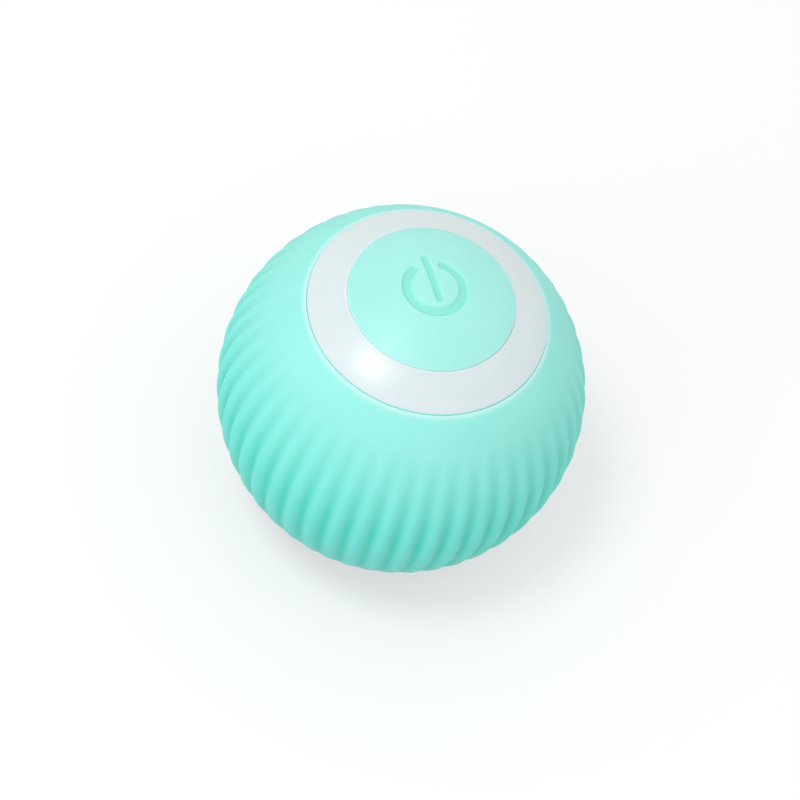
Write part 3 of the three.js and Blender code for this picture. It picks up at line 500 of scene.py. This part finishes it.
def base_cap():
    plate_top = cap_foot + cap_plate
    rim_top = -crown_edge - cap_rim_gap
    skirt_inner = cap_skirt_radius - cap_skirt_wall
    mouth_edge = corner((0, cap_foot + mouth_round), (0, cap_foot), (mouth_round, cap_foot))
    mouth = [mouth_row(0, plate_top)] + [mouth_row(grow, height) for grow, height in mouth_edge]
    outer = turned_rows([
        *corner(
            (cap_radius - cap_round, cap_foot),
            (cap_radius, cap_foot),
            (cap_radius, cap_foot + cap_round),
        ),
        (cap_radius, rim_top),
        (cap_neck_radius, rim_top),
        (cap_neck_radius, -crown_edge),
        (cap_skirt_radius, -crown_edge),
        (cap_skirt_radius, board_foot),
        (skirt_inner, board_foot),
        (skirt_inner, plate_top),
    ], cap_columns)
    face = [mouth[-1] + (outer[0] - mouth[-1]) * share for share in cap_face_shares]
    ring_piece("base_cap_surface", mouth + face + outer, "core", "cap_plastic", "base_cap")


# Materials. Their patterns are measured in millimetres and keep to the piece. Noise lies round
# a half, so it is spread over one of these two ranges: wide for soft patches, narrow for clear ones.

soft_range = (0.3, 0.7)
clear_range = (0.35, 0.65)


class Finish:
    """A Principled material, with helpers that make its colour, roughness and bump."""

    def __init__(self, name, roughness, **settings):
        self.material = bpy.data.materials.new(name)
        self.material.use_nodes = True
        self.tree = self.material.node_tree
        self.shader = self.tree.nodes["Principled BSDF"]
        self.shader.inputs["Roughness"].default_value = roughness
        for setting, value in settings.items():
            self.shader.inputs[setting.replace("_", " ")].default_value = value
        place = self.tree.nodes.new("ShaderNodeTexCoord")
        scale = self.node("ShaderNodeVectorMath", operation="SCALE")
        scale.inputs["Scale"].default_value = 1 / mm
        self.link(place.outputs["Object"], scale.inputs[0])
        self.place = scale.outputs[0]
        self.height = None

    def node(self, kind, **settings):
        made = self.tree.nodes.new(kind)
        for setting, value in settings.items():
            setattr(made, setting, value)
        return made

    def link(self, source, target):
        self.tree.links.new(source, target)

    def stretched(self, stretch):
        """The place, scaled apart along the axes, for grain that runs one way."""
        scale = self.node("ShaderNodeVectorMath", operation="MULTIPLY")
        scale.inputs[1].default_value = stretch
        self.link(self.place, scale.inputs[0])
        return scale.outputs[0]

    def noise(self, size, detail=2.0, stretch=None):
        """Cloudy noise whose patches are about size millimetres across."""
        made = self.node("ShaderNodeTexNoise")
        made.inputs["Scale"].default_value = 1 / size
        made.inputs["Detail"].default_value = detail
        self.link(self.stretched(stretch) if stretch else self.place, made.inputs["Vector"])
        return made.outputs["Fac"]

    def cells(self, size):
        """Distance from scattered points about size millimetres apart."""
        made = self.node("ShaderNodeTexVoronoi")
        made.inputs["Scale"].default_value = 1 / size
        self.link(self.place, made.inputs["Vector"])
        return made.outputs["Distance"]

    def mapped(self, value, start, end, low=0.0, high=1.0):
        """The value's stretch from start to end, spread from low to high."""
        made = self.node("ShaderNodeMapRange", interpolation_type="SMOOTHSTEP")
        made.inputs["From Min"].default_value = start
        made.inputs["From Max"].default_value = end
        made.inputs["To Min"].default_value = low
        made.inputs["To Max"].default_value = high
        self.link(value, made.inputs["Value"])
        return made.outputs["Result"]

    def reckoned(self, operation, first, second):
        made = self.node("ShaderNodeMath", operation=operation)
        for value, socket in zip((first, second), made.inputs):
            if isinstance(value, (int, float)):
                socket.default_value = value
            else:
                self.link(value, socket)
        return made.outputs[0]

    def attribute(self, name):
        return self.node("ShaderNodeAttribute", attribute_name=name).outputs["Fac"]

    def mixed(self, share, first, second):
        """A colour between two others."""
        made = self.node("ShaderNodeMix", data_type="RGBA")
        self.link(share, made.inputs["Factor"])
        for colour, socket in ((first, made.inputs[6]), (second, made.inputs[7])):
            if isinstance(colour, tuple):
                socket.default_value = (*colour, 1)
            else:
                self.link(colour, socket)
        return made.outputs[2]

    def coloured(self, colour):
        self.link(colour, self.shader.inputs["Base Color"])

    def roughened(self, value):
        self.link(value, self.shader.inputs["Roughness"])

    def raised(self, value, depth):
        """Bump of a depth in millimetres, on top of any that is there."""
        made = self.node("ShaderNodeBump")
        made.inputs["Strength"].default_value = 1
        made.inputs["Distance"].default_value = depth * mm
        self.link(value, made.inputs["Height"])
        if self.height:
            self.link(self.height, made.inputs["Normal"])
        self.height = made.outputs["Normal"]
        self.link(self.height, self.shader.inputs["Normal"])


def lighter(colour, share):
    return tuple(channel + (1 - channel) * share for channel in colour)


def darker(colour, share):
    return tuple(channel * (1 - share) for channel in colour)


def spread_round(roughness, by=0.06):
    """The lowest and highest roughness of a surface whose gloss varies from patch to patch."""
    return roughness - by, roughness + by


def soft_rubber(name, colour, roughness, gloss, painted_lights_and_shades):
    """Moulded silicone: cloudy colour, fine matt grain, and specks of lint. Each painted light or
    painted shade is a colour that the piece takes where the attribute of that name is one."""
    finish = Finish(
        name, roughness,
        Subsurface_Weight=0.2, Subsurface_Scale=1.5 * mm,
    )
    finish.shader.inputs["Subsurface Radius"].default_value = (0.5, 1.0, 0.9)
    finish.shader.inputs["Specular IOR Level"].default_value = gloss
    cloud = finish.mapped(finish.noise(7), *soft_range)
    tone = finish.mixed(cloud, darker(colour, 0.02), lighter(colour, 0.015))
    # Painted light and painted shade, each where its attribute is one.
    for attribute, painted_tone in painted_lights_and_shades.items():
        tone = finish.mixed(finish.attribute(attribute), tone, painted_tone)
    mottle = finish.mapped(finish.noise(0.5, 3), *clear_range)
    tone = finish.mixed(finish.reckoned("MULTIPLY", mottle, 0.03), tone, lighter(colour, 0.3))
    lint = finish.mapped(finish.cells(2.4), 0.02, 0.035, 1, 0)
    tone = finish.mixed(finish.reckoned("MULTIPLY", lint, 0.35), tone, lighter(colour, 0.5))
    finish.coloured(tone)
    finish.roughened(finish.mapped(
        finish.noise(1.6, 3), *soft_range, *spread_round(roughness, by=0.05)))
    finish.raised(finish.noise(0.16, 2), 0.012)
    finish.raised(finish.noise(2.5, 2), 0.02)
    return finish.material


def milky_plastic():
    """Cloudy light guide: faint flow marks, fine scratches and a soft gloss, with painted light near
    its edges and at the button, and a painted reflection of the sleeve's mint on its outer wall.
    """
    colour = (0.68, 0.765, 0.77)
    # Painted light: the edge and rim colours are lighter than the plastic. Painted reflection: the
    # wall colour is the sleeve's mint.
    edge_light_colour = (0.70, 0.79, 0.825)
    rim_light_colour = (0.9, 0.96, 0.96)
    sleeve_reflection_colour = (0.45, 0.95, 0.88)
    finish = Finish(
        "milky_plastic", 0.3,
        Subsurface_Weight=0.35, Subsurface_Scale=2 * mm,
        Coat_Weight=0.15, Coat_Roughness=0.22,
    )
    finish.shader.inputs["Subsurface Radius"].default_value = (1.0, 0.95, 0.9)
    cloud = finish.mapped(finish.noise(6, 3), *soft_range)
    tone = finish.mixed(cloud, darker(colour, 0.012), lighter(colour, 0.02))
    flow = finish.mapped(finish.noise(1.2, 4, (1, 1, 0.2)), *clear_range)
    tone = finish.mixed(finish.reckoned("MULTIPLY", flow, 0.1), tone, lighter(colour, 0.04))
    tone = finish.mixed(finish.attribute("painted_light_near_edge"), tone, edge_light_colour)
    tone = finish.mixed(finish.attribute("painted_light_at_button"), tone, rim_light_colour)
    finish.coloured(finish.mixed(finish.attribute("painted_reflection_at_sleeve"), tone, sleeve_reflection_colour))
    scratches = finish.mapped(finish.noise(0.25, 4, (6, 0.6, 1)), 0.5, 0.72)
    finish.roughened(finish.reckoned(
        "ADD", finish.mapped(finish.noise(1.5, 3), *soft_range, 0.28, 0.32),
        finish.reckoned("MULTIPLY", scratches, 0.02)))
    finish.raised(finish.noise(3, 2), 0.004)
    finish.raised(scratches, 0.0005)
    return finish.material


def moulded_plastic(name, colour, roughness, grain=0.25):
    """Injection moulded plastic: eroded grain, faint flow marks and rubbed patches."""
    finish = Finish(name, roughness)
    flow_marks = finish.mapped(finish.noise(4, 4, (1, 1, 0.35)), *soft_range)
    tone = finish.mixed(flow_marks, darker(colour, 0.05), lighter(colour, 0.05))
    dust = finish.mapped(finish.noise(0.9, 5), 0.55, 0.75)
    finish.coloured(finish.mixed(
        finish.reckoned("MULTIPLY", dust, 0.2), tone, lighter(colour, 0.25)))
    finish.roughened(finish.mapped(
        finish.noise(1.3, 3), *soft_range, *spread_round(roughness)))
    finish.raised(finish.noise(grain, 2), 0.01)
    return finish.material


def brushed_metal(name, colour, roughness):
    """Drawn or turned metal: fine lines one way, with stains that vary its gloss."""
    finish = Finish(name, roughness, Metallic=1.0)
    lines = finish.noise(0.6, 5, (1, 1, 14))
    stains = finish.mapped(finish.noise(2.5, 4), 0.45, 0.7)
    tone = finish.mixed(
        finish.mapped(lines, *soft_range), darker(colour, 0.1), lighter(colour, 0.12))
    finish.coloured(finish.mixed(
        finish.reckoned("MULTIPLY", stains, 0.3), tone, darker(colour, 0.25)))
    finish.roughened(finish.reckoned(
        "ADD", finish.mapped(lines, *soft_range, *spread_round(roughness)),
        finish.reckoned("MULTIPLY", stains, 0.1)))
    finish.raised(lines, 0.004)
    return finish.material


def cast_metal():
    """Cast weight: a pitted skin with darker hollows and bright rubbed high spots."""
    colour = (0.27, 0.275, 0.285)
    finish = Finish("cast_metal", 0.5, Metallic=1.0)
    skin = finish.noise(0.35, 4)
    pits = finish.mapped(finish.cells(0.8), 0.1, 0.3)
    tone = finish.mixed(finish.mapped(skin, *clear_range), darker(colour, 0.3), lighter(colour, 0.2))
    finish.coloured(finish.mixed(pits, darker(colour, 0.5), tone))
    finish.roughened(finish.mapped(skin, *soft_range, 0.42, 0.62))
    finish.raised(skin, 0.03)
    finish.raised(pits, 0.03)
    return finish.material


def battery_foil():
    """Laminated foil over a soft cell: pillowed, with fine creases."""
    colour = (0.56, 0.57, 0.585)
    finish = Finish("battery_foil", 0.38, Metallic=0.75)
    creases = finish.mapped(finish.noise(1.6, 5, (1, 0.4, 1)), *clear_range)
    finish.coloured(finish.mixed(creases, darker(colour, 0.12), lighter(colour, 0.12)))
    finish.roughened(finish.mapped(finish.noise(0.8, 4), *soft_range, 0.3, 0.46))
    finish.raised(creases, 0.04)
    finish.raised(finish.noise(6, 1), 0.15)
    return finish.material


def open_foam():
    """Foam pad: open cells with dark pores."""
    colour = (0.045, 0.05, 0.055)
    finish = Finish("open_foam", 0.92)
    pores = finish.mapped(finish.cells(0.22), 0.15, 0.5)
    finish.coloured(finish.mixed(pores, darker(colour, 0.6), lighter(colour, 0.05)))
    finish.roughened(finish.mapped(finish.noise(0.5, 2), *soft_range, 0.86, 0.97))
    finish.raised(pores, 0.06)
    return finish.material


def lacquered_board():
    """Circuit board: green lacquer over copper lanes, with pale pads and a woven core."""
    green = (0.012, 0.125, 0.05)
    copper = (0.025, 0.2, 0.08)
    finish = Finish("lacquered_board", 0.3)
    lanes = finish.node("ShaderNodeTexBrick", offset=0.35, squash=0.6)
    lanes.inputs["Scale"].default_value = 0.55
    lanes.inputs["Mortar Size"].default_value = 0.08
    lanes.inputs["Mortar Smooth"].default_value = 0.1
    finish.link(finish.place, lanes.inputs["Vector"])
    weave = finish.node("ShaderNodeTexWave", wave_type="BANDS", bands_direction="X")
    weave.inputs["Scale"].default_value = 1.6
    finish.link(finish.place, weave.inputs["Vector"])
    tone = finish.mixed(lanes.outputs["Fac"], green, copper)
    tone = finish.mixed(finish.reckoned("MULTIPLY", weave.outputs["Fac"], 0.12), tone, copper)
    pads = finish.mapped(finish.cells(1.9), 0.17, 0.2, 1, 0)
    solder = finish.mapped(finish.noise(0.4, 3), 0.4, 0.6, 0.75, 1)
    finish.coloured(finish.mixed(
        finish.reckoned("MULTIPLY", pads, solder), tone, (0.55, 0.56, 0.55)))
    finish.roughened(finish.mapped(finish.noise(1.1, 3), *soft_range, 0.24, 0.4))
    finish.raised(lanes.outputs["Fac"], 0.03)
    finish.raised(pads, 0.03)
    return finish.material


def clear_lens():
    """Lamp in clear resin over a pale yellow dot of phosphor."""
    finish = Finish("clear_lens", 0.12, Transmission_Weight=0.25, IOR=1.5)
    dot = finish.mapped(finish.cells(1.1), 0.2, 0.45, 1, 0)
    finish.coloured(finish.mixed(dot, (0.9, 0.91, 0.86), (0.88, 0.78, 0.25)))
    finish.roughened(finish.mapped(finish.noise(0.5, 2), *soft_range, 0.08, 0.2))
    finish.raised(finish.noise(0.6, 2), 0.01)
    return finish.material


def wire_jacket(name, colour):
    """Silicone wire: satin, with faint rings left by the extruder."""
    finish = Finish(name, 0.45)
    rings_left = finish.mapped(finish.noise(0.3, 3, (1, 1, 2.5)), *clear_range)
    finish.coloured(finish.mixed(rings_left, darker(colour, 0.15), lighter(colour, 0.06)))
    finish.roughened(finish.mapped(finish.noise(0.7, 3), *soft_range, 0.38, 0.55))
    finish.raised(rings_left, 0.01)
    return finish.material


def dress(materials):
    """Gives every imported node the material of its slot."""
    for part in frame["record"]["subparts"]:
        node = frame["nodes"][part["node"]]
        node.data.materials.clear()
        node.data.materials.append(materials[part["material_slot"]])


# The rubber's mint, partly paled by painted sheen beside the deeper ribs.
smooth_mint = (0.322, 0.865, 0.78)
# Painted shade in the rib valleys.
valley_shade_mint = (0.076, 0.8, 0.655)
# Painted light on the rib crests.
crest_light_mint = (0.19, 0.97, 0.845)
# Painted light near the lips.
lip_light_mint = (0.51, 0.92, 0.87)
button_mint = (0.35, 0.82, 0.752)
# Painted shade in the symbol's groove.
symbol_shade_mint = (0.25, 0.78, 0.68)
# Painted light on the button's rim.
rim_light_mint = (0.52, 1.0, 0.94)

materials = {
    "grip_sleeve": soft_rubber("ribbed_rubber", smooth_mint, roughness=0.5, gloss=0.25, painted_lights_and_shades={
        "painted_shade_valley": valley_shade_mint, "painted_light_crest": crest_light_mint, "painted_light_near_lip": lip_light_mint}),
    "power_button": soft_rubber("button_rubber", button_mint, roughness=0.42, gloss=0.62, painted_lights_and_shades={
        "sunk_and_painted_shade": symbol_shade_mint, "painted_light_on_rim": rim_light_mint}),
    "light_ring": milky_plastic(),
    "shell_plastic": moulded_plastic("shell_plastic", (0.8, 0.83, 0.82), roughness=0.5),
    "frame_plastic": moulded_plastic("frame_plastic", (0.68, 0.7, 0.69), roughness=0.5),
    "gear_plastic": moulded_plastic("gear_plastic", (0.86, 0.86, 0.8), roughness=0.4, grain=0.15),
    "cap_plastic": moulded_plastic("cap_plastic", (0.78, 0.83, 0.82), roughness=0.36),
    "bright_steel": brushed_metal("bright_steel", (0.5, 0.51, 0.52), roughness=0.3),
    "motor_cap": moulded_plastic("motor_cap", (0.88, 0.88, 0.85), roughness=0.42),
    "counterweight": cast_metal(),
    "battery_foil": battery_foil(),
    "battery_pad": open_foam(),
    "circuit_board": lacquered_board(),
    "black_plastic": moulded_plastic(
        "black_plastic", (0.016, 0.017, 0.019), roughness=0.48, grain=0.12),
    "led_lens": clear_lens(),
    "red_wire": wire_jacket("red_wire", (0.52, 0.02, 0.028)),
    "black_wire": wire_jacket("black_wire", (0.012, 0.012, 0.014)),
}
dress(materials)

grip_sleeve()
rings()
power_button()
button_inside()
base_cap()

# Light and floor. The lamps' powers are in watts.

key_direction = Vector((-0.389, -0.048, 0.92))
lamp_distance = 500 * mm
key_size = 150 * mm
key_power = 0.62
fill_direction = Vector((-0.8, -0.35, 0.45))
fill_size = 300 * mm
fill_power = 0.32
world_light = 0.82
floor_half_width = 2.0
floor_colour = 0.95
floor_bounce = 0.4
floor_glow = 0.42
floor_roughness = 0.9


def add_lamp(name, direction, size, power):
    """A round soft lamp that shines on the ball from a direction."""
    lamp = bpy.data.lights.new(name, "AREA")
    lamp.shape = "DISK"
    lamp.size = size
    lamp.energy = power
    softbox = bpy.data.objects.new(name, lamp)
    softbox.location = Vector((0, 0, centre_height)) + direction.normalized() * lamp_distance
    softbox.rotation_euler = direction.to_track_quat("Z", "Y").to_euler()
    bpy.context.scene.collection.objects.link(softbox)
    return softbox


def seen_rays(tree):
    """One for the rays that show a surface to the camera, itself or in metal and glass."""
    rays = tree.nodes.new("ShaderNodeLightPath")
    seen = rays.outputs["Is Camera Ray"]
    for ray in ("Is Glossy Ray", "Is Transmission Ray"):
        either = tree.nodes.new("ShaderNodeMath")
        either.operation = "ADD"
        either.use_clamp = True
        tree.links.new(seen, either.inputs[0])
        tree.links.new(rays.outputs[ray], either.inputs[1])
        seen = either.outputs[0]
    return seen


def spread_between(tree, share, low, high):
    spread = tree.nodes.new("ShaderNodeMapRange")
    spread.inputs["To Min"].default_value = low
    spread.inputs["To Max"].default_value = high
    tree.links.new(share, spread.inputs["Value"])
    return spread.outputs["Result"]


def set_world():
    world = bpy.data.worlds.new("studio")
    world.use_nodes = True
    tree = world.node_tree
    background = tree.nodes["Background"]
    background.inputs["Color"].default_value = (1, 1, 1, 1)
    strength = spread_between(tree, seen_rays(tree), world_light, 1)
    tree.links.new(strength, background.inputs["Strength"])
    bpy.context.scene.world = world


def add_floor():
    reach = floor_half_width
    corners = [(-reach, -reach, 0), (reach, -reach, 0), (reach, reach, 0), (-reach, reach, 0)]
    mesh = bpy.data.meshes.new("floor")
    mesh.from_pydata(corners, [], [(0, 1, 2, 3)])
    floor = bpy.data.objects.new("floor", mesh)
    bpy.context.scene.collection.objects.link(floor)
    material = bpy.data.materials.new("floor")
    material.use_nodes = True
    tree = material.node_tree
    paint = tree.nodes["Principled BSDF"]
    paint.inputs["Roughness"].default_value = floor_roughness
    paint.inputs["Specular IOR Level"].default_value = 0
    seen = seen_rays(tree)
    tree.links.new(spread_between(tree, seen, floor_bounce, floor_colour), paint.inputs["Base Color"])
    glow = tree.nodes.new("ShaderNodeEmission")
    both = tree.nodes.new("ShaderNodeMixShader")
    tree.links.new(spread_between(tree, seen, 0, floor_glow), both.inputs["Fac"])
    tree.links.new(paint.outputs["BSDF"], both.inputs[1])
    tree.links.new(glow.outputs["Emission"], both.inputs[2])
    tree.links.new(both.outputs["Shader"], tree.nodes["Material Output"].inputs["Surface"])
    mesh.materials.append(material)


add_lamp("key_lamp", key_direction, key_size, key_power)
fill_lamp = add_lamp("fill_lamp", fill_direction, fill_size, fill_power)
fill_lamp.visible_glossy = False
set_world()
add_floor()
bpy.context.scene.view_settings.view_transform = "Standard"
